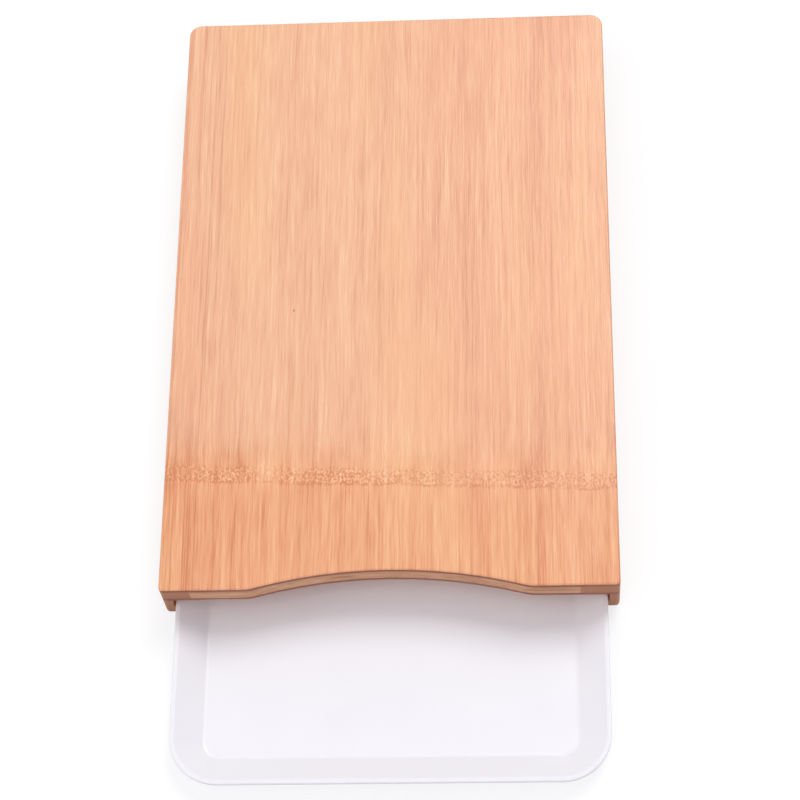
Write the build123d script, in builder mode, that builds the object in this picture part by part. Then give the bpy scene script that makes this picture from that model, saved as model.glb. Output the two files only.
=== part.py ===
from build123d import *
import math
import os

# A bamboo cutting board with one shallow moulded tray that slides out from under its front edge.
# The object stands on the table plane, z = 0, with +Z up. The front faces -Y, and the tray is drawn
# out as far as it is shown. The origin is on the table, under the middle of the object's whole box.
# All sizes are in millimetres.

# Panel: two face plies over a core of cross-laid slats, held between two lengthwise edge bands
board_width = 251.0
board_length = 370.0
face_ply = 3.0
core_ply = 9.0
front_corner = 2.5  # corner radii, seen from above
back_corner = 7.5
top_round = 1.2  # eased edge round the cutting surface
slat_count = 18
left_band_width = 16.5  # the blank was trimmed to width after gluing, so the bands differ
right_band_width = 21.5

# Finger cut: one shallow arc in the middle of the front edge, blended into the straight parts
cut_depth = 10.5
cut_radius = 285.0
cut_blend = 25.0
cut_ease = 0.8  # bevelled lower edge, where fingers reach under for the tray

# Runner rails: an outer wall, with a lip that carries the tray's rim
rail_wall = 5.5
groove_height = 10.0
lip_height = 6.5
lip_tip = 1.5  # blunt inner edge of the lip
rail_ease = 0.8  # bevel on the long lower edges that hands touch
back_rail_depth = 18.0

# Tray: one moulding with a flat floor, four sloping walls and a flat rim
tray_corner = 27.0  # outer corner radius of the rim
rim_band = 2.5  # width of the rim's flat top
rim_thickness = 2.0
rim_round = 0.7  # the rim's two upper edges
well_depth = 10.0  # rim top to floor
wall_spread = 15.0  # how far a wall runs inwards on its way down
tray_skin = 1.8  # thickness of floor and walls
floor_round = 4.0  # radius of the inside crease between floor and walls
tray_drawn = 102.0  # how far the tray is drawn out at rest

# Running clearances round the tray
side_clearance = 1.0
ride_clearance = 0.2  # rim over lip
slope_clearance = 0.5  # wall to the slope of the lip, square to both
stop_clearance = 2.0  # tray to back rail, pushed right in
table_clearance = 1.9  # tray to table

# Feet: tapered rubber bumpers, each held by a pan-head screw in a recess
foot_radius = 6.5  # where it meets the rail
foot_tread_radius = 5.8  # where it meets the table
foot_inset = 32.0  # from the board's front and back edges
recess_radius = 3.6
recess_depth = 2.6
screw_shank_radius = 1.5
screw_head_radius = 2.9
screw_head_height = 1.6
screw_head_bevel = 0.8
screw_bite = 4.0  # length of shank inside the rail
screw_hole_clearance = 0.1
cross_length = 3.2
cross_width = 0.7
cross_depth = 0.9

# Levels above the table. The tray hangs from the lips by its rim, and the feet lift its floor clear
tray_under = table_clearance
floor_top = tray_under + tray_skin
rim_top = floor_top + well_depth
rim_under = rim_top - rim_thickness
lip_top = rim_under - ride_clearance
rail_under = lip_top - lip_height
panel_under = lip_top + groove_height
core_under = panel_under + face_ply
core_top = core_under + core_ply

# Places front to back: the whole box, drawn tray included, is centred on the origin
board_front = (tray_drawn - board_length) / 2
board_middle = board_front + board_length / 2
board_back = board_front + board_length
rail_back = board_back - back_rail_depth
half_width = board_width / 2

# The tray fills the bay between the rails
tray_width = board_width - 2 * (rail_wall + side_clearance)
tray_length = board_length - back_rail_depth - stop_clearance
tray_front = board_front - tray_drawn
tray_middle = tray_front + tray_length / 2

# Wall slope: lean is measured from the vertical, and slope is the run for each unit of drop
wall_slope = wall_spread / well_depth
wall_lean = math.degrees(math.atan(wall_slope))
skin_run = tray_skin / math.cos(math.radians(wall_lean))  # the skin's thickness, measured level
shell_inset = rim_band + rim_thickness * wall_slope - skin_run

# The lip's slope lies under the tray's wall, with its clearance
slope_run = slope_clearance / math.cos(math.radians(wall_lean))
lip_edge_x = tray_width / 2 - shell_inset - ride_clearance * wall_slope + slope_run
tip_top = rail_under + lip_tip
tip_x = lip_edge_x - (lip_top - tip_top) * wall_slope
foot_x = (tip_x + half_width) / 2

upward = (Align.CENTER, Align.CENTER, Align.MIN)
foot_places = [
    (side * foot_x, y)
    for y in (board_front + foot_inset, board_back - foot_inset)
    for side in (-1, 1)
]


def envelope():
    """The panel's outline before the finger cut: a rectangle with rounded corners."""
    with BuildSketch() as shape:
        with Locations((0, board_middle)):
            Rectangle(board_width, board_length)
        fillet(shape.vertices().group_by(Axis.Y)[-1], back_corner)
        fillet(shape.vertices().group_by(Axis.Y)[0], front_corner)
    return shape.sketch


def panel_outline():
    """The panel's outline with the finger cut, whose two ends are blended into the front edge."""
    with BuildSketch() as shape:
        add(envelope())
        with Locations((0, board_front + cut_depth - cut_radius)):
            Circle(cut_radius, mode=Mode.SUBTRACT)
        front_corners = shape.vertices().group_by(Axis.Y)[0].sort_by(Axis.X)
        cut_ends = front_corners[1:3]
        fillet(cut_ends, cut_blend)
    return shape.sketch


def flat_face(builder, level):
    """The level face of a part that lies nearest to a height above the table."""
    level_faces = builder.faces().filter_by(Plane.XY)
    return level_faces.sort_by(lambda face: abs(face.center().Z - level))[0]


def core_piece(x_low, x_high, y_low, y_high):
    """One strip of the core layer, cut to the panel's outline."""
    with BuildPart() as piece:
        with BuildSketch(Plane.XY.offset(core_under)):
            with Locations(((x_low + x_high) / 2, (y_low + y_high) / 2)):
                Rectangle(x_high - x_low, y_high - y_low)
            add(panel_plan, mode=Mode.INTERSECT)
        extrude(amount=core_ply)
    return piece.part


def runner_rail(side):
    """A side rail: its section is run front to back, then its front corner is rounded in plan."""
    wall_inside = half_width - rail_wall
    section = [
        (half_width, rail_under),
        (half_width, panel_under),
        (wall_inside, panel_under),
        (wall_inside, lip_top),
        (lip_edge_x, lip_top),
        (tip_x, tip_top),
        (tip_x, rail_under),
    ]
    with BuildPart() as rail:
        with BuildSketch(Plane.XZ.offset(-rail_back)):
            with BuildLine():
                Polyline([(side * x, z) for x, z in section], close=True)
            make_face()
        extrude(amount=rail_back - board_front)
        with BuildSketch(Plane.XY.offset(rail_under)):
            add(envelope())
        extrude(amount=panel_under - rail_under, mode=Mode.INTERSECT)
        under_edges = flat_face(rail, rail_under).edges()
        chamfer(under_edges.sort_by(lambda edge: -side * edge.center().X)[0], rail_ease)
        for x, y in foot_places:
            if x * side > 0:
                with Locations(Plane(origin=(x, y, rail_under), z_dir=(0, 0, -1))):
                    Hole(screw_shank_radius + screw_hole_clearance, depth=screw_bite)
    return rail.part


def rubber_foot(x, y):
    """A tapered bumper with a recess in its tread for the screw's head."""
    with BuildPart() as foot:
        with Locations((x, y, 0)):
            Cone(foot_tread_radius, foot_radius, rail_under, align=upward)
        with Locations(Plane(origin=(x, y, 0), z_dir=(0, 0, -1))):
            CounterBoreHole(screw_shank_radius + screw_hole_clearance, recess_radius, recess_depth)
    return foot.part


def tray_outline(inset):
    """The tray's plan outline, drawn in by an inset, for the sketch that is open."""
    with Locations((0, tray_middle)):
        RectangleRounded(tray_width - 2 * inset, tray_length - 2 * inset, tray_corner - inset)


panel_plan = panel_outline()
parts = {}

with BuildPart() as top_ply:
    with BuildSketch(Plane.XY.offset(core_top)):
        add(panel_plan)
    extrude(amount=face_ply)
    fillet(flat_face(top_ply, core_top + face_ply).edges(), top_round)
parts["top_ply"] = top_ply.part

with BuildPart() as bottom_ply:
    with BuildSketch(Plane.XY.offset(panel_under)):
        add(panel_plan)
    extrude(amount=face_ply)
    under_arcs = flat_face(bottom_ply, panel_under).edges().filter_by(GeomType.CIRCLE)
    cut_edge = under_arcs.sort_by(SortBy.RADIUS)[-1]
    chamfer(cut_edge, cut_ease)
parts["bottom_ply"] = bottom_ply.part

# The core: slats laid across the board, between the two edge bands
core_left = left_band_width - half_width
core_right = half_width - right_band_width
parts["left_edge_band"] = core_piece(-half_width, core_left, board_front, board_back)
parts["right_edge_band"] = core_piece(core_right, half_width, board_front, board_back)
slat_pitch = board_length / slat_count
for index in range(slat_count):
    slat_front = board_front + index * slat_pitch
    slat = core_piece(core_left, core_right, slat_front, slat_front + slat_pitch)
    parts[f"core_slat_{index + 1:02d}"] = slat

parts["left_rail"] = runner_rail(-1)
parts["right_rail"] = runner_rail(1)

with BuildPart() as back_rail:
    with BuildSketch(Plane.XY.offset(rail_under)):
        add(envelope())
        with Locations((0, rail_back)):
            Rectangle(board_width, back_rail_depth, align=(Align.CENTER, Align.MIN), mode=Mode.INTERSECT)
    extrude(amount=panel_under - rail_under)
    chamfer(flat_face(back_rail, rail_under).edges().sort_by(Axis.Y)[-1], rail_ease)
parts["back_rail"] = back_rail.part

foot_names = ["front_left_foot", "front_right_foot", "back_left_foot", "back_right_foot"]
for foot_name, (foot_place_x, foot_place_y) in zip(foot_names, foot_places):
    parts[foot_name] = rubber_foot(foot_place_x, foot_place_y)

# Pan-head screws, heads down in the feet. A cross is cut into each head
head_under = recess_depth - screw_head_height
shank_length = rail_under - recess_depth + screw_bite
with BuildPart() as foot_screws:
    with Locations(*[(x, y, head_under) for x, y in foot_places]):
        Cylinder(screw_head_radius, screw_head_height, align=upward)
    chamfer(foot_screws.edges().group_by(Axis.Z)[0], screw_head_bevel)
    with Locations(*[(x, y, recess_depth) for x, y in foot_places]):
        Cylinder(screw_shank_radius, shank_length, align=upward)
    with Locations(*[(x, y, head_under) for x, y in foot_places]):
        Box(cross_length, cross_width, cross_depth, align=upward, mode=Mode.SUBTRACT)
        Box(cross_width, cross_length, cross_depth, align=upward, mode=Mode.SUBTRACT)
parts["foot_screws"] = foot_screws.part

with BuildPart() as tray:
    with BuildSketch(Plane.XY.offset(rim_under)):
        tray_outline(shell_inset)
    extrude(amount=tray_under - rim_under, taper=wall_lean)
    with BuildSketch(Plane.XY.offset(rim_under)):
        tray_outline(0)
    extrude(amount=rim_thickness)
    with BuildSketch(Plane.XY.offset(rim_top)):
        tray_outline(rim_band)
    extrude(amount=-well_depth, taper=wall_lean, mode=Mode.SUBTRACT)
    fillet(flat_face(tray, floor_top).edges(), floor_round)
    fillet(flat_face(tray, tray_under).edges(), floor_round + tray_skin)
    fillet(flat_face(tray, rim_top).edges(), rim_round)
parts["tray"] = tray.part

os.makedirs("parts", exist_ok=True)
for name, piece in parts.items():
    piece.label = name
    export_step(piece, f"parts/{name}.step")
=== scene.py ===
# %% [markdown]
# # A bamboo cutting board with a sliding tray
#
# The board is a glued panel of bamboo on two runner rails. A moulded tray hangs between the rails by
# its rim and is drawn out of the front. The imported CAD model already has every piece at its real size,
# so it is loaded first and used as a fixed frame. This lesson builds the looks around it: smooth
# meshes with eased edges where the CAD facets would show, and a procedural finish for every surface.

# %% Load the fixed frame
import math

import bmesh
import bpy
from mathutils import Matrix, Vector


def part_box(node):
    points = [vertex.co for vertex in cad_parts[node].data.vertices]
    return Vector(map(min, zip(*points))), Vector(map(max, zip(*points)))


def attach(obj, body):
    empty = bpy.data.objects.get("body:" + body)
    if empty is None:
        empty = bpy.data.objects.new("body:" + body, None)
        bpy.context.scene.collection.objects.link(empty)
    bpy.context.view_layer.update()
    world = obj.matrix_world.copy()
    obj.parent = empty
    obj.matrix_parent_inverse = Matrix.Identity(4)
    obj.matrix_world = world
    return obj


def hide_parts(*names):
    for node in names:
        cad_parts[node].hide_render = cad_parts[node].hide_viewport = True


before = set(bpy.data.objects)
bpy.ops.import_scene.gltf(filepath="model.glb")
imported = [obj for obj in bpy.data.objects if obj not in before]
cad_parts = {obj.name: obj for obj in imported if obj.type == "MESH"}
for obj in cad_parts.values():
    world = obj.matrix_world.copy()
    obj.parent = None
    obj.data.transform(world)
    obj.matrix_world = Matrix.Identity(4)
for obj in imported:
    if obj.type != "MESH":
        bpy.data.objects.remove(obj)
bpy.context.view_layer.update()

# %% [markdown]
# ## The camera
#
# A photograph's view can be found again from a few straight edges whose real length is known. Here the
# board's four top corners and the tray's rim give the direction, the distance and the lens. The camera
# could be aimed by a constraint, but a few plain numbers and one matrix are easier to read and check.

# %% Place the camera
view_azimuth = math.radians(7.93)  # to the right of straight ahead
view_elevation = math.radians(63.82)
view_roll = math.radians(-8.23)
view_distance = 1.332
view_target = Vector((0.0055, -0.0214, 0.0365))
focal_length = 106.8  # millimetres, on the camera's default 36 mm sensor

level_part = math.cos(view_elevation)
toward_viewer = Vector((
    math.sin(view_azimuth) * level_part,
    -math.cos(view_azimuth) * level_part,
    math.sin(view_elevation),
))
camera = bpy.data.objects.new("camera", bpy.data.cameras.new("camera"))
camera.data.lens = focal_length
camera_turn = (-toward_viewer).to_track_quat("-Z", "Y").to_matrix().to_4x4()
camera_place = Matrix.Translation(view_target + toward_viewer * view_distance)
camera.matrix_world = camera_place @ camera_turn @ Matrix.Rotation(view_roll, 4, "Z")
bpy.context.scene.collection.objects.link(camera)
bpy.context.scene.camera = camera
print("camera at", [round(part, 3) for part in camera.matrix_world.translation])

# %% [markdown]
# ## Shader maths as Python
#
# A finish is a tree of nodes. Placing each node and each link by hand takes many lines, so two small
# classes do it. `Wire` is one output of a node: adding or multiplying wires adds Math nodes, so a pattern
# reads like a formula. `Finish` holds a tree, and its `node` method adds any node with its settings and
# its sockets.


# %% A wire
class Wire:
    """One output socket. Python's operators on it add Math nodes."""

    def __init__(self, finish, socket):
        self.finish = finish
        self.socket = socket

    def __getitem__(self, output):
        return Wire(self.finish, self.socket.node.outputs[output])

    def maths(self, operation, *values):
        return self.finish.node("ShaderNodeMath", {"operation": operation}, dict(enumerate(values)))

    def __add__(self, other):
        return self.maths("ADD", self, other)

    def __sub__(self, other):
        return self.maths("SUBTRACT", self, other)

    def __rsub__(self, other):
        return self.maths("SUBTRACT", other, self)

    def __mul__(self, other):
        return self.maths("MULTIPLY", self, other)

    def __abs__(self):
        return self.maths("ABSOLUTE", self)

    __radd__ = __add__
    __rmul__ = __mul__


# %% A finish
class Finish:
    """The node tree of a material or a world, and the patterns that the finishes share."""

    def __init__(self, owner):
        owner.use_nodes = True
        self.owner = owner
        self.tree = owner.node_tree
        self.tree.nodes.clear()

    def node(self, kind, settings=None, sockets=None):
        """Adds a node: its settings first, then a value or a link for each socket."""
        made = self.tree.nodes.new(kind)
        for name, value in (settings or {}).items():
            if name == "stops":
                fill_ramp(made.color_ramp, value)
            else:
                setattr(made, name, value)
        for name, value in (sockets or {}).items():
            shown = [socket for socket in made.inputs if socket.enabled]
            target = shown[name] if isinstance(name, int) else next(s for s in shown if s.name == name)
            if isinstance(value, Wire):
                self.tree.links.new(value.socket, target)
            else:
                target.default_value = value
        outputs = [socket for socket in made.outputs if socket.enabled]
        return Wire(self, outputs[0]) if outputs else None

    def place(self):
        """Where a point lies on the object, in metres."""
        return self.node("ShaderNodeTexCoord")["Object"]

    def axes(self, vector):
        """The X, Y and Z of a vector, as three wires."""
        parts = self.node("ShaderNodeSeparateXYZ", sockets={"Vector": vector})
        return parts["X"], parts["Y"], parts["Z"]

    def patches(self, size, seed, detail=2.0, place=None):
        """Soft random patches, about 0.5. size is how far one patch runs along X, Y and Z."""
        divide = {"operation": "DIVIDE"}
        steps = self.node("ShaderNodeVectorMath", divide, {0: place or self.place(), 1: size})
        sockets = {"Vector": steps, "W": seed, "Scale": 1.0, "Detail": detail}
        return self.node("ShaderNodeTexNoise", {"noise_dimensions": "4D"}, sockets)

    def rise(self, value, low, high):
        """A mask that rises smoothly from 0 at low to 1 at high. With low above high it falls."""
        settings = {"interpolation_type": "SMOOTHSTEP"}
        return self.node("ShaderNodeMapRange", settings, {"Value": value, "From Min": low, "From Max": high})

    def mix(self, factor, first, second):
        """A colour between two colours."""
        return self.node("ShaderNodeMix", {"data_type": "RGBA"}, {"Factor": factor, "A": first, "B": second})

    def ramp(self, value, stops):
        """A colour read from a ramp of stops."""
        return self.node("ShaderNodeValToRGB", {"stops": stops}, {"Fac": value})

    def bump(self, height, distance):
        """A normal that makes a pattern stand up by a distance in metres."""
        sockets = {"Strength": 1.0, "Distance": distance, "Height": height}
        return self.node("ShaderNodeBump", sockets=sockets)

    def surface(self, **sockets):
        """Ends a material with a Principled shader. An underscore in a name stands for a space."""
        named = {name.replace("_", " "): value for name, value in sockets.items()}
        shader = self.node("ShaderNodeBsdfPrincipled", sockets=named)
        self.node("ShaderNodeOutputMaterial", sockets={"Surface": shader})
        print(self.owner.name, "has", len(self.tree.nodes), "nodes")
        return self.owner


# %% Ramps and colours
def fill_ramp(ramp, stops):
    """Sets a colour ramp's stops, each a position and a colour."""
    while len(ramp.elements) < len(stops):
        ramp.elements.new(0.5)
    for element, (position, colour) in zip(ramp.elements, stops):
        element.position = position
        element.color = colour


def paint(red, green, blue):
    """A colour as a screen shows it, each part from 0 to 255, in the linear values that shaders use."""
    linear = []
    for part in (red / 255, green / 255, blue / 255):
        linear.append(part / 12.92 if part <= 0.04045 else ((part + 0.055) / 1.055) ** 2.4)
    return (*linear, 1.0)


print("a middle grey in linear values:", [round(part, 3) for part in paint(128, 128, 128)])

# %% [markdown]
# ## The light
#
# The object stood on white under soft daylight. The shadow that the board throws on the tray shows a
# broad light behind the board and a little to the right, a bit over 50 degrees up. That shadow is never
# black, so weaker light comes from the left and from the front. Area lamps could do this, but their
# light falls off with distance. Sun lamps with a wide angle give soft shadows and the same light at
# every point. Each lamp gets a share of the light that falls on a level surface. The shares and the
# sky's share add up to about 1, so a colour renders about as it is written. The sky is a trace violet
# and the lamps a trace yellow, which together light a level white surface white but leave cool shadows.

# %% The lamps
sky_share = 0.46
lamp_tint = (1.0, 1.012, 0.975)
lamps = {
    "back_window": ((0.32, 0.68, 1.00), 0.32, 30.0),  # towards the light, share, width in degrees
    "left_window": ((-0.80, -0.40, 1.00), 0.13, 60.0),
    "front_window": ((-0.10, -0.70, 1.00), 0.07, 60.0),
}
for lamp_name, (toward_light, share, width) in lamps.items():
    toward_light = Vector(toward_light).normalized()
    lamp = bpy.data.objects.new(lamp_name, bpy.data.lights.new(lamp_name, "SUN"))
    lamp.data.energy = math.pi * share / toward_light.z
    lamp.data.color = lamp_tint
    lamp.data.angle = math.radians(width)
    lamp.rotation_euler = toward_light.to_track_quat("Z", "Y").to_euler()
    bpy.context.scene.collection.objects.link(lamp)
    print(lamp_name, "energy", round(lamp.data.energy, 3))

# %% The sky
lighting_sky = (0.985, 0.950, 1.040, 1.0)  # what lights the object
shown_sky = (1.0, 1.0, 1.0, 1.0)  # what the camera and gloss see, at full strength
world = bpy.data.worlds.new("sky")
bpy.context.scene.world = world
bpy.context.scene.view_settings.view_transform = "Standard"
sky = Finish(world)
ray = sky.node("ShaderNodeLightPath")
looks = ray["Is Camera Ray"] + ray["Is Glossy Ray"] + ray["Is Transmission Ray"]
shown = looks.maths("MINIMUM", looks, 1.0)
background = sky.node("ShaderNodeBackground", sockets={
    "Color": sky.mix(shown, lighting_sky, shown_sky),
    "Strength": shown * (1 - sky_share) + sky_share,
})
sky.node("ShaderNodeOutputWorld", sockets={"Surface": background})
print("the sky's share of the light:", sky_share)

# %% [markdown]
# ## The floor
#
# The floor is a pale sheet. For the camera it is part light of its own and part lit, so that it meets
# the white background with no line and still takes the object's shadow.

# %% Lay the floor
floor_reach = 4.0
floor_tone = paint(240, 240, 242)
floor_glow = 0.62  # the part of the floor's white that no shadow can darken
glow_strength = 1.15
floor_mesh = bmesh.new()
bmesh.ops.create_grid(floor_mesh, x_segments=1, y_segments=1, size=floor_reach)
floor = bpy.data.objects.new("floor", bpy.data.meshes.new("floor"))
floor_mesh.to_mesh(floor.data)
floor_mesh.free()
bpy.context.scene.collection.objects.link(floor)

floor_finish = Finish(bpy.data.materials.new("floor"))
lit = floor_finish.node("ShaderNodeBsdfDiffuse", sockets={"Color": floor_tone})
glow = floor_finish.node("ShaderNodeEmission", sockets={"Strength": glow_strength})
to_camera = floor_finish.node("ShaderNodeLightPath")["Is Camera Ray"]
mixed = floor_finish.node("ShaderNodeMixShader", sockets={0: to_camera * floor_glow, 1: lit, 2: glow})
floor_finish.node("ShaderNodeOutputMaterial", sockets={"Surface": mixed})
floor.data.materials.append(floor_finish.owner)
print("floor", round(floor.dimensions.x, 1), "metres wide")

# %% [markdown]
# ## The cutting surface
#
# The cutting surface is one sheet of flattened bamboo: a split culm that was steamed and pressed flat.
# Its fibres run from front to back as fine light and dark streaks. A growth node crosses the sheet as a
# speckled brown band, where the fibres tangle. A photograph could be laid over the board, but a formula
# has no edge, works at any scale and follows every piece. Each pattern is noise stretched along the
# grain: a patch under 1 mm wide and 20 mm long reads as a fibre.
#
# The sizes and places come first, in metres. Then one function finds the node band, one bends the grain
# and gathers its streaks, and the last one turns the streaks into colour, gloss and relief.

# %% Where things lie on the board
board_low, board_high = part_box("top_ply")
board_front = board_low.y
half_width = board_high.x
node_band_place = 0.0652  # from the front edge, at the middle of the board
node_band_slant = -0.038  # it lies nearer to the front on the right
node_band_half = 0.0050
node_gap_x = -0.068  # where the band fades and the wood is paler
dark_strip_x = 0.042
fleck_x, fleck_y = -0.056, 0.037  # a small dark fleck in the wood
print("the node band lies", round(node_band_place * 1000, 1), "mm behind the front edge")

# %% How far one patch of each pattern runs along X, Y and Z
fibre_size = (0.00075, 0.0200, 0.0040)
thread_size = (0.00155, 0.0800, 0.0040)
strand_size = (0.0042, 0.1600, 0.0060)
strip_size = (0.0300, 0.6000, 0.0350)
line_size = (0.0015, 0.4000, 0.0040)
cloud_size = (0.0120, 0.0220, 0.0200)
speck_size = (0.0011, 0.0016, 0.0011)
scuff_size = (0.0006, 0.0150, 0.0100)
golden_size = (0.0300, 0.2600, 0.0600)
blush_size = (0.0450, 0.1600, 0.0600)
print("a fibre is", fibre_size[0] * 1000, "mm wide and", fibre_size[1] * 1000, "mm long")

# %% The colours of the cutting surface
wood_tones = [
    (0.05, paint(214, 134, 90)),
    (0.27, paint(230, 155, 108)),
    (0.50, paint(240, 170, 123)),
    (0.73, paint(247, 183, 136)),
    (0.95, paint(253, 201, 156)),
]
# painted sheen: a pale colour laid over the wood behind the node band, standing in for the gloss of the
# light behind the board
painted_sheen_tone = paint(255, 228, 202)  # behind the node band
golden_tone = paint(251, 198, 142)
blush_tone = paint(240, 166, 130)
scuff_tone = paint(253, 226, 208)
fleck_tone = paint(120, 74, 52)
side_tone = paint(182, 112, 80)
sawn_end_tone = paint(138, 70, 50)
print("wood runs through", len(wood_tones), "tones, from dark to light")


# %% The node band
waver_size = (0.025, 0.025, 0.060)
waver_reach = 0.007  # from the furthest to the nearest that the band can wander
clump_size = (0.016, 0.050, 0.060)
node_gap_half = 0.013
stirred_behind, stirred_in_front = 0.045, 0.016  # how far from the band the grain is still uneven
front_line_place, front_line_half = 0.0042, 0.0011


def node_band(finish, x, y):
    """Masks of the node band: how far behind it a point lies, near it, in it, its front line, its gap."""
    waver = (finish.patches(waver_size, seed=1.0) - 0.5) * waver_reach
    behind = y - board_front - node_band_place - x * node_band_slant - waver
    patchy = finish.rise(finish.patches(clump_size, seed=1.5), 0.30, 0.62)
    gap = finish.rise(abs(x - node_gap_x), node_gap_half, 0.003)
    inside = finish.rise(abs(behind), node_band_half * 1.35, node_band_half * 0.65)
    inside = inside * (0.55 + 0.45 * patchy) * (1 - gap * 0.55)
    near = finish.rise(behind, stirred_behind, 0.004) * finish.rise(behind, -stirred_in_front, 0.0)
    front_line = finish.rise(abs(behind + front_line_place), front_line_half, 0.0003) * patchy
    return behind, near, inside, front_line, gap


print("the band is", node_band_half * 2000, "mm wide, and it wanders within", waver_reach * 1000, "mm")


# %% The streaks
sway_size = (0.050, 0.100, 0.060)
ripple_size = (0.0035, 0.0060, 0.004)
tangle_size = (0.0016, 0.0014, 0.0018)
sway_reach = 0.0035  # each reach is from the furthest left to the furthest right that grain can bend
ripple_reach, stirred_ripple_reach = 0.0003, 0.0022
tangle_reach = 0.0045
dark_strip_half = 0.0120


def streaks(finish, x, y, z, near_node, in_node):
    """The wood's tone from its streaks, about 0.5, with the fibres and threads that also give relief."""
    sway = (finish.patches(sway_size, seed=2.0) - 0.5) * sway_reach
    ripple = finish.patches(ripple_size, seed=3.0) - 0.5
    ripple = ripple * (ripple_reach + stirred_ripple_reach * near_node)
    tangle = (finish.patches(tangle_size, seed=4.0) - 0.5) * tangle_reach * in_node
    grain = finish.node("ShaderNodeCombineXYZ", sockets={0: x + sway + ripple + tangle, 1: y, 2: z})

    fibres = finish.patches(fibre_size, seed=5.0, place=grain) - 0.5
    threads = finish.patches(thread_size, seed=6.0, place=grain) - 0.5
    strands = finish.patches(strand_size, seed=7.0, place=grain) - 0.5
    strips = finish.patches(strip_size, seed=8.0, detail=0.0) - 0.5
    clouds = (finish.patches(cloud_size, seed=8.5) - 0.5) * (0.3 + 0.9 * near_node)
    specks = (finish.patches(speck_size, seed=9.0, detail=1.0) - 0.5) * in_node
    tone = 0.5 + fibres * 1.15 + threads * 1.15 + strands * 0.65 + strips * 0.60
    tone = tone + clouds * 0.8 + specks * 3.2

    left_edge = finish.rise(x, half_width * -0.62, half_width * -0.92)
    long_lines = finish.rise(finish.patches(line_size, seed=10.0, place=grain), 0.50, 0.66)
    dark_strip = finish.rise(abs(x + sway - dark_strip_x), dark_strip_half, 0.0030)
    tone = tone - long_lines * (0.08 + 0.34 * left_edge) - dark_strip * 0.11
    return tone, fibres, threads


print("the grain sways within", sway_reach * 1000, "mm, and near the band it ripples within",
      round((ripple_reach + stirred_ripple_reach) * 1000, 1), "mm")


# %% [markdown]
# The last function lays the colours over each other from the widest to the smallest, as washes of
# stain. The wood behind the node band is painted paler, a painted sheen of the light behind the board,
# and the right side is painted a little darker, a painted shade that tempers that sheen. The right side
# is also scuffed by use, and the sawn sides are darker. A side is told by the surface's own normal, so
# one finish serves the whole ply.

# %% The finish of the two plies
side_starts, side_is_full = 0.15, 0.55  # how far a normal points up
end_starts, end_is_full = 0.50, 0.85  # how far it points to the front or back
fibre_relief = 0.00006  # how far the fibres stand up, in metres


def side_masks(finish):
    """How far a point's surface faces to the side, and how far it faces to the front or back."""
    along, up = finish.axes(finish.node("ShaderNodeTexCoord")["Normal"])[1:]
    side = 1 - finish.rise(abs(up), side_starts, side_is_full)
    end = finish.rise(abs(along), end_starts, end_is_full)
    return side, end


def face_finish():
    """Flattened bamboo with its grain along Y, a node band, the scuffs of use, and a painted sheen and
    shade.
    """
    finish = Finish(bpy.data.materials.new("bamboo_face"))
    x, y, z = finish.axes(finish.place())
    behind_node, near_node, in_node, node_front, pale_gap = node_band(finish, x, y)
    tone, fibres, threads = streaks(finish, x, y, z, near_node, in_node)
    # Painted shade: the right side of the face is darkened a little, to temper the sheen of the light behind
    # the board there.
    painted_right_shade = finish.rise(x, 0.030, 0.100)
    tone = tone - in_node * 0.12 - node_front * 0.30
    tone = tone + pale_gap * near_node * 0.16 - painted_right_shade * 0.12
    wood = finish.ramp(tone, wood_tones)

    # Painted sheen: the wood behind the node band is paled, less so on the right, as the gloss of the light
    # behind the board would pale it.
    behind = finish.rise(behind_node, -0.004, 0.030) * (1 - 0.45 * finish.rise(x, -0.040, 0.100))
    golden = finish.rise(finish.patches(golden_size, seed=10.5), 0.42, 0.62)
    blush = finish.rise(finish.patches(blush_size, seed=11.0), 0.40, 0.70)
    right_edge = finish.rise(x, half_width * 0.55, half_width * 0.90)
    scuff_noise = finish.patches(scuff_size, seed=12.0, detail=1.0)
    scuffs = finish.rise(scuff_noise, 0.66, 0.78) * (0.15 + 0.85 * right_edge)
    fleck = finish.rise(abs(x - fleck_x), 0.0005, 0.0002) * finish.rise(abs(y - fleck_y), 0.0010, 0.0004)
    side, end = side_masks(finish)
    layers = (
        (behind * 0.22, painted_sheen_tone),
        (golden * 0.26, golden_tone),
        (blush * 0.22, blush_tone),
        (scuffs * 0.55, scuff_tone),
        (fleck * 0.8, fleck_tone),
        (side * 0.55, side_tone),
        (side * end * 0.95, sawn_end_tone),
    )
    for cover, colour in layers:
        wood = finish.mix(cover, wood, colour)
    return finish.surface(
        Base_Color=wood,
        Roughness=0.27 + fibres * 0.12 + scuffs * 0.15 + side * 0.15,
        Normal=finish.bump(fibres * 0.6 + threads * 0.4 - scuffs * 0.3, fibre_relief),
    )


bamboo_face = face_finish()

# %% [markdown]
# ## Bamboo strips
#
# The core, the edge bands and the rails are glued up from bamboo strips on edge, so they show short
# brown streaks, and specks of cut fibre where a strip ends at the front or back. One function makes all
# of them: only the direction of the grain and the tones differ.

# %% The core, the edge bands and the rails
grain_along_x = (0.060, 0.0007, 0.0007)
grain_along_y = (0.0009, 0.050, 0.0009)
core_tones = (paint(172, 114, 78), paint(210, 156, 116), paint(230, 183, 142))
band_tones = (paint(150, 96, 70), paint(206, 146, 110), paint(228, 174, 136))
rail_tones = (paint(150, 98, 72), paint(206, 146, 110), paint(230, 176, 138))
band_end_tone = paint(180, 120, 84)
rail_end_tone = paint(178, 122, 88)
thread_scale = 2.6  # how much coarser the second set of streaks is
blotch_size = (0.018, 0.018, 0.018)
pore_size = (0.0005, 0.0005, 0.0005)
strip_stops = (0.2, 0.5, 0.8)


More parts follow.
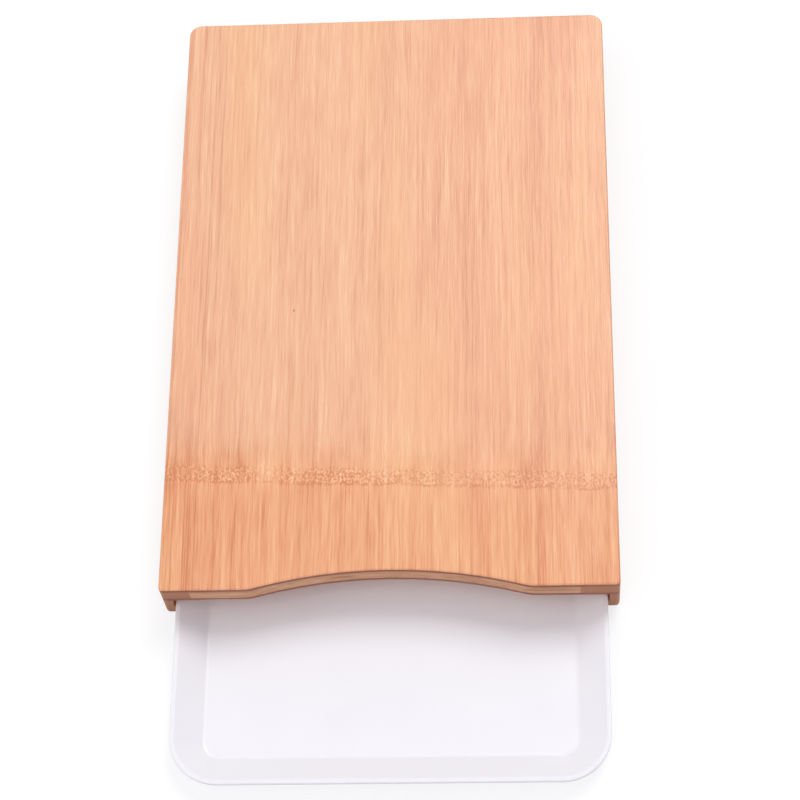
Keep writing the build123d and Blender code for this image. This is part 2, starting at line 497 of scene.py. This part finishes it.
def strip_finish(name, grain_size, tones, end_tone=None):
    """Bamboo strips with dark, middle and light tones. grain_size is how far one streak runs."""
    finish = Finish(bpy.data.materials.new(name))
    fibres = finish.patches(grain_size, seed=11.0) - 0.5
    threads = finish.patches([size * thread_scale for size in grain_size], seed=12.0) - 0.5
    blotches = finish.patches(blotch_size, seed=13.0) - 0.5
    tone = 0.5 + fibres * 0.9 + threads * 0.7 + blotches * 0.5
    wood = finish.ramp(tone, list(zip(strip_stops, tones)))
    if end_tone:
        side, end = side_masks(finish)
        pores = finish.rise(finish.patches(pore_size, seed=14.0), 0.52, 0.66)
        wood = finish.mix(end * side, wood, finish.mix(pores * 0.5, end_tone, tones[0]))
    return finish.surface(
        Base_Color=wood,
        Roughness=0.55 + fibres * 0.12,
        Normal=finish.bump(fibres, fibre_relief),
    )


bamboo_core = strip_finish("bamboo_core", grain_along_x, core_tones)
bamboo_band = strip_finish("bamboo_band", grain_along_y, band_tones, band_end_tone)
bamboo_rail = strip_finish("bamboo_rail", grain_along_y, rail_tones, rail_end_tone)
bamboo_cross_rail = strip_finish("bamboo_cross_rail", grain_along_x, rail_tones)

# %% [markdown]
# ## Plastic, rubber and zinc
#
# The tray is glossy white plastic. Even a plain plastic isn't one flat colour: it has soft clouds from
# the moulding, a ripple too low to see except in its gloss, and fine rubs where it slides on the rails.
# The feet are dusty grey rubber, and the screws are bright zinc.


# %% The tray, the feet and the screws
tray_whites = (paint(246, 245, 250), paint(250, 249, 253))
rubber_greys = (paint(58, 57, 56), paint(84, 82, 80))
zinc_greys = (paint(196, 196, 192), paint(214, 208, 190))
moulding_cloud_size = (0.030, 0.030, 0.030)
rub_size = (0.0006, 0.060, 0.0006)  # the tray slides along Y
ripple_size_on_tray = (0.004, 0.004, 0.004)
dust_size = (0.003, 0.003, 0.003)
grit_size = (0.0004, 0.0004, 0.0004)
bloom_size = (0.002, 0.002, 0.002)
ripple_relief, grit_relief = 0.00002, 0.00005  # how far each stands up, in metres


def tray_finish():
    """Glossy white moulded plastic with a very fine ripple and faint rubbing marks from the rails."""
    finish = Finish(bpy.data.materials.new("tray_plastic"))
    clouds = finish.patches(moulding_cloud_size, seed=21.0)
    rubs = finish.rise(finish.patches(rub_size, seed=22.0), 0.60, 0.75)
    ripple = finish.patches(ripple_size_on_tray, seed=23.0)
    return finish.surface(
        Base_Color=finish.mix(clouds, *tray_whites),
        Specular_IOR_Level=0.35,
        Roughness=0.20 + clouds * 0.05 + rubs * 0.05,
        Normal=finish.bump(ripple, ripple_relief),
    )


def rubber_finish():
    """Soft grey rubber, a little dusty."""
    finish = Finish(bpy.data.materials.new("foot_rubber"))
    dust = finish.patches(dust_size, seed=31.0, detail=4.0)
    grit = finish.patches(grit_size, seed=32.0)
    return finish.surface(
        Base_Color=finish.mix(dust, *rubber_greys),
        Roughness=0.72 + dust * 0.2,
        Normal=finish.bump(grit, grit_relief),
    )


def zinc_finish():
    """Bright zinc plate with a faint yellow bloom."""
    finish = Finish(bpy.data.materials.new("screw_steel"))
    bloom = finish.patches(bloom_size, seed=41.0, detail=3.0)
    return finish.surface(
        Base_Color=finish.mix(bloom, *zinc_greys),
        Roughness=0.26 + bloom * 0.2,
        Metallic=1.0,
    )


tray_plastic = tray_finish()
foot_rubber = rubber_finish()
screw_steel = zinc_finish()

# %% [markdown]
# ## Drawing an outline with a moving point
#
# The panel's outline has straight runs, round corners and a shallow finger cut. It could be typed as a
# list of points, but a vertex that is moved and spun draws it with five sizes. `run_to` extrudes the
# tip of the line to a new place, and `turn_about` spins it about a centre, which makes a true arc.

# %% Outline helpers
arc_step = math.radians(2.5)
touching = 1e-6  # places nearer than this are the same place


def run_to(mesh, tip, place):
    """A straight edge from the tip of a line to a place. Returns the new tip."""
    made = bmesh.ops.extrude_vert_indiv(mesh, verts=[tip])
    made["verts"][0].co = place
    return made["verts"][0]


def turn_about(mesh, tip, centre, angle):
    """An arc from the tip of a line about a centre. Returns the new tip."""
    steps = max(2, math.ceil(abs(angle) / arc_step))
    made = bmesh.ops.spin(mesh, geom=[tip], cent=centre, axis=(0, 0, 1), angle=angle, steps=steps)
    return next(part for part in made["geom_last"] if isinstance(part, bmesh.types.BMVert))


def closed_loop(places):
    """A new mesh with one closed line through a few places."""
    mesh = bmesh.new()
    tip = first = mesh.verts.new(places[0])
    for place in places[1:]:
        tip = run_to(mesh, tip, place)
    mesh.edges.new((tip, first))
    return mesh


def edges_where(mesh, test):
    """The edges whose two ends both pass a test of their place."""
    return [edge for edge in mesh.edges if all(test(vert.co) for vert in edge.verts)]


def same(first, second):
    """Whether two measures are the same."""
    return abs(first - second) < touching


print("arcs are drawn in steps of", round(math.degrees(arc_step), 1), "degrees")

# %% [markdown]
# ## From a mesh to a piece
#
# Every piece is finished in the same way. Most have their edges eased with a bevel first, since no real
# edge is perfectly sharp, and then the faces are shaded smooth. Smooth shading alone would bend the light
# near each edge of a flat face, so a Weighted Normal modifier holds the large faces flat. Then the piece
# rides on its body and takes its finish, and the CAD node that it stands for is hidden.


# %% Raise, ease and finish
sharp_angle = math.radians(32)  # edges that turn by more than this stay sharp


def raise_face(mesh, face, height):
    """Makes a plate out of a flat face. Returns the plate's upper face."""
    made = bmesh.ops.extrude_face_region(mesh, geom=[face])
    upper = next(part for part in made["geom"] if isinstance(part, bmesh.types.BMFace))
    bmesh.ops.translate(mesh, vec=(0, 0, height), verts=upper.verts)
    bmesh.ops.recalc_face_normals(mesh, faces=mesh.faces)
    return upper


def ease(mesh, edges, offset, segments=4):
    """Rounds edges, as sandpaper or a mould does."""
    bmesh.ops.bevel(
        mesh, geom=edges, offset=offset, segments=segments, profile=0.5, affect="EDGES", material=-1)


def finish_piece(mesh, name, node, body, material):
    """Turns a bmesh into a piece that stands for a CAD node: smooth, with its finish, on its body."""
    for face in mesh.faces:
        face.smooth = True
    piece = bpy.data.objects.new(name, bpy.data.meshes.new(name))
    mesh.to_mesh(piece.data)
    mesh.free()
    piece.data.set_sharp_from_angle(angle=sharp_angle)
    piece.data.materials.append(material)
    bpy.context.scene.collection.objects.link(piece)
    flatten = piece.modifiers.new("flat_faces_stay_flat", "WEIGHTED_NORMAL")
    flatten.keep_sharp = True
    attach(piece, body)
    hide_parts(node)
    low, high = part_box(node)
    print(name, "stands for", node, [round((b - a) * 1000, 1) for a, b in zip(low, high)], "mm")


# %% [markdown]
# ## The plies
#
# The panel is two face plies over a core, all cut to one outline, so one function draws the outline for
# every layer. The finger cut is a shallow arc that two smaller arcs blend into the straight front edge.
# The top ply's rim is eased all round, and the bottom ply only where fingers reach under it for the
# tray.

# %% The panel's outline
front_corner = 0.0025
back_corner = 0.0075
cut_depth = 0.0105
cut_radius = 0.285
cut_blend = 0.025
board_back = board_high.y
cut_centre = Vector((0, board_front + cut_depth - cut_radius, 0))
blend_y = board_front + cut_blend
blend_reach = cut_radius + cut_blend  # from the cut's centre to a blend's centre
blend_x = math.sqrt(blend_reach ** 2 - (blend_y - cut_centre.y) ** 2)
blend_turn = math.asin(blend_x / blend_reach)
print("the finger cut is", round(blend_x * 2000, 1), "mm wide between its blends' ends")


def panel_blank(low, high):
    """A plate with the panel's outline, between two heights."""
    mesh = bmesh.new()
    tip = mesh.verts.new((blend_x, board_front, low))
    quarter = math.pi / 2
    front_x, front_y = half_width - front_corner, board_front + front_corner
    back_x, back_y = half_width - back_corner, board_back - back_corner
    tip = run_to(mesh, tip, (front_x, board_front, low))
    tip = turn_about(mesh, tip, (front_x, front_y, low), quarter)
    tip = run_to(mesh, tip, (half_width, back_y, low))
    tip = turn_about(mesh, tip, (back_x, back_y, low), quarter)
    tip = run_to(mesh, tip, (-back_x, board_back, low))
    tip = turn_about(mesh, tip, (-back_x, back_y, low), quarter)
    tip = run_to(mesh, tip, (-half_width, front_y, low))
    tip = turn_about(mesh, tip, (-front_x, front_y, low), quarter)
    tip = run_to(mesh, tip, (-blend_x, board_front, low))
    tip = turn_about(mesh, tip, (-blend_x, blend_y, low), blend_turn)
    tip = turn_about(mesh, tip, (0, cut_centre.y, low), -2 * blend_turn)
    turn_about(mesh, tip, (blend_x, blend_y, low), blend_turn)
    bmesh.ops.remove_doubles(mesh, verts=mesh.verts, dist=touching)
    bmesh.ops.contextual_create(mesh, geom=mesh.edges[:])
    raise_face(mesh, mesh.faces[:][0], high - low)
    return mesh


# %% Build the top ply
top_round = 0.0012
top = panel_blank(board_low.z, board_high.z)
ease(top, edges_where(top, lambda place: same(place.z, board_high.z)), top_round, segments=6)
finish_piece(top, "cutting_surface", "top_ply", "board", bamboo_face)

# %% Build the bottom ply
cut_ease = 0.0008
margin = 1e-5  # the cut's own ends count as in it
under_low, under_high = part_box("bottom_ply")
under = panel_blank(under_low.z, under_high.z)
cut_edges = edges_where(under, lambda place: (
    same(place.z, under_low.z)
    and abs(place.x) <= blend_x + margin
    and place.y < board_front + cut_depth + margin
))
ease(under, cut_edges, cut_ease, segments=3)
finish_piece(under, "lower_ply", "bottom_ply", "board", bamboo_face)

# %% [markdown]
# ## The core
#
# The core is glued up from slats that lie across the board, between two lengthwise bands. On the bench
# it is one blank that is sawn to shape, so here too one blank is made and sawn with `bisect_plane`.
# The slats behind the first one keep their CAD shape, which is a plain strip, and take its finish.


# %% Saw the strips that show
on_the_cut = 1e-7  # a corner this near to a cut lies on it


def sawn_strip(low, high):
    """The part of a panel blank that lies inside a box."""
    mesh = panel_blank(low.z, high.z)
    saw_cuts = ((low, (-1, 0, 0)), (high, (1, 0, 0)), (low, (0, -1, 0)), (high, (0, 1, 0)))
    for place, direction in saw_cuts:
        made = bmesh.ops.bisect_plane(
            mesh, geom=mesh.verts[:] + mesh.edges[:] + mesh.faces[:], dist=on_the_cut,
            plane_co=place, plane_no=direction, clear_outer=True)
        cut = [part for part in made["geom_cut"] if isinstance(part, bmesh.types.BMEdge)]
        if cut:
            bmesh.ops.holes_fill(mesh, edges=cut)
    bmesh.ops.recalc_face_normals(mesh, faces=mesh.faces)
    return mesh


strips = {
    "front_core_slat": ("core_slat_01", bamboo_core, "bamboo_core"),
    "left_band": ("left_edge_band", bamboo_band, "bamboo_band"),
    "right_band": ("right_edge_band", bamboo_band, "bamboo_band"),
}
for piece_name, (node, material, slot) in strips.items():
    finish_piece(sawn_strip(*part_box(node)), piece_name, node, "board", material)


# %% Finish the other slats
def finish_node(node, material):
    """Gives a CAD node that keeps its shape its finish."""
    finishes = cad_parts[node].data.materials
    finishes.clear()
    finishes.append(material)


other_slats = [node for node in sorted(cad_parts) if node.startswith("core_slat")][1:]
for node in other_slats:
    finish_node(node, bamboo_core)
print(len(other_slats), "slats keep their CAD shape, from", other_slats[0], "to", other_slats[-1])

# %% [markdown]
# ## The runner rails
#
# A runner rail is one length of section: a wall, and a lip whose top follows the tray's sloping wall.
# A curve with a bevel profile could make it, but on an extruded section the edges to ease are easy to
# find by their place.

# %% Mould the rails
rail_wall = 0.0055
lip_height = 0.0065
lip_tip = 0.0015
rail_ease = 0.0008
wall_slope = 1.5  # how far the tray's wall runs inwards for each unit that it drops


def runner_rail(side, node):
    """The rail's section is drawn at the back, run to the front, and its edges are eased."""
    low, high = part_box(node)
    inner = min(abs(low.x), abs(high.x))
    lip_top = low.z + lip_height
    lip_edge = inner + (lip_height - lip_tip) * wall_slope
    section = [
        (half_width, low.z), (half_width, high.z), (half_width - rail_wall, high.z),
        (half_width - rail_wall, lip_top), (lip_edge, lip_top), (inner, low.z + lip_tip), (inner, low.z),
    ]
    mesh = closed_loop([(side * x, high.y, z) for x, z in section])
    bmesh.ops.contextual_create(mesh, geom=mesh.edges[:])
    made = bmesh.ops.extrude_face_region(mesh, geom=mesh.faces[:])
    moved = [part for part in made["geom"] if isinstance(part, bmesh.types.BMVert)]
    bmesh.ops.translate(mesh, vec=(0, low.y - high.y, 0), verts=moved)
    bmesh.ops.recalc_face_normals(mesh, faces=mesh.faces)
    upright = edges_where(mesh, lambda place: same(abs(place.x), half_width) and same(place.y, low.y))
    ease(mesh, upright, front_corner, segments=12)
    long_edge = edges_where(mesh, lambda place: same(place.z, low.z) and same(abs(place.x), half_width))
    ease(mesh, long_edge, rail_ease)
    return mesh


for side, side_name in ((-1, "left"), (1, "right")):
    node = f"{side_name}_rail"
    finish_piece(runner_rail(side, node), f"{side_name}_runner", node, "board", bamboo_rail)

# %% [markdown]
# ## The tray
#
# The tray is one moulding. It could be thickened from a sheet, but its rim is thicker than its walls.
# So one plate is made for the rim, and its upper and lower faces are pressed in, ring by ring.

# %% The tray's sizes
tray_corner = 0.027
rim_band = 0.0025
rim_thickness = 0.002
rim_round = 0.0007
tray_skin = 0.0018
floor_round = 0.004
tray_low, tray_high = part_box("tray")
well_depth = tray_high.z - tray_low.z - tray_skin
shell_drop = tray_high.z - rim_thickness - tray_low.z
wall_turn = math.atan(1 / wall_slope)  # how far the wall turns down from level
shell_inset = rim_band + rim_thickness * wall_slope - tray_skin / math.sin(wall_turn)
bend = math.tan(wall_turn / 2)  # a round's radius times this is how far it reaches along each face
print("the well is", round(well_depth * 1000, 1), "mm deep, and its walls turn down by",
      round(math.degrees(wall_turn), 1), "degrees")


# %% Press the tray
corner_facets = 32


def rounded_sheet(low, high, level, corner):
    """A flat face with four round corners."""
    mesh = bmesh.new()
    bmesh.ops.create_grid(mesh, x_segments=1, y_segments=1, size=0.5)
    bmesh.ops.scale(mesh, vec=(high.x - low.x, high.y - low.y, 1), verts=mesh.verts)
    middle = ((low.x + high.x) / 2, (low.y + high.y) / 2, level)
    bmesh.ops.translate(mesh, vec=middle, verts=mesh.verts)
    bmesh.ops.bevel(
        mesh, geom=mesh.verts[:], offset=corner, segments=corner_facets, profile=0.5, affect="VERTICES",
        material=-1)
    return mesh


def press(mesh, face, inwards, depth):
    """Insets a face by a level distance and pushes it in. Returns the edges of the smaller face."""
    bmesh.ops.inset_region(mesh, faces=[face], thickness=inwards, depth=-depth, use_even_offset=True)
    return face.edges[:]


tray = rounded_sheet(tray_low, tray_high, tray_high.z - rim_thickness, tray_corner)
under_face = tray.faces[:][0]
upper_face = raise_face(tray, under_face, rim_thickness)
rim_outer = upper_face.edges[:]
rim_inner = press(tray, upper_face, rim_band, 0)
floor_crease = press(tray, upper_face, well_depth * wall_slope, well_depth)
press(tray, under_face, shell_inset, 0)
shell_crease = press(tray, under_face, shell_drop * wall_slope, -shell_drop)
ease(tray, floor_crease, floor_round * bend, segments=6)
ease(tray, shell_crease, (floor_round + tray_skin) * bend, segments=6)
ease(tray, rim_inner, rim_round * bend)
ease(tray, rim_outer, rim_round, segments=6)
finish_piece(tray, "moulded_tray", "tray", "tray", tray_plastic)

# %% [markdown]
# ## The back rail
#
# The back rail closes the tray's bay. It has the panel's outline too, so it is sawn from the same blank,
# and its long lower edge is eased like the side rails'. Its grain runs from side to side.

# %% Saw the back rail
rail_low, rail_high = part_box("back_rail")
stop_rail = sawn_strip(rail_low, rail_high)
lower_back = edges_where(stop_rail, lambda place: same(place.z, rail_low.z) and same(place.y, rail_high.y))
ease(stop_rail, lower_back, rail_ease)
finish_piece(stop_rail, "back_stop_rail", "back_rail", "board", bamboo_cross_rail)

# %% [markdown]
# ## The rubber feet
#
# A foot is a tapered bumper that was turned in a mould, so its section is drawn once and spun about its
# axis. The section is a closed loop beside the axis, because a screw passes through the middle.

# %% Spin the feet
foot_radius = 0.0065
foot_tread_radius = 0.0058
foot_ease = 0.0005
recess_radius = 0.0036
recess_depth = 0.0026
foot_hole_radius = 0.0016
foot_facets = 64


def rubber_foot(node):
    """One foot, with a soft edge round its tread and round the recess for the screw's head."""
    low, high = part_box(node)
    axis = (low + high) / 2
    section = [
        (foot_radius, high.z), (foot_tread_radius, low.z), (recess_radius, low.z),
        (recess_radius, low.z + recess_depth), (foot_hole_radius, low.z + recess_depth),
        (foot_hole_radius, high.z),
    ]
    mesh = closed_loop([(axis.x + radius, axis.y, z) for radius, z in section])
    bmesh.ops.spin(
        mesh, geom=mesh.verts[:] + mesh.edges[:], cent=axis, axis=(0, 0, 1), angle=math.tau,
        steps=foot_facets, use_merge=True)
    bmesh.ops.recalc_face_normals(mesh, faces=mesh.faces)
    ease(mesh, edges_where(mesh, lambda place: same(place.z, low.z)), foot_ease)
    return mesh


for corner in ("front_left", "front_right", "back_left", "back_right"):
    node = f"{corner}_foot"
    finish_piece(rubber_foot(node), f"{corner}_bumper", node, "board", foot_rubber)

# %% [markdown]
# ## The screws
#
# The small screws are right as the CAD model has them, so they only get a finish.

# %% Finish the screws
finish_node("foot_screws", screw_steel)
print("foot_screws now has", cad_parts["foot_screws"].data.materials[0].name)
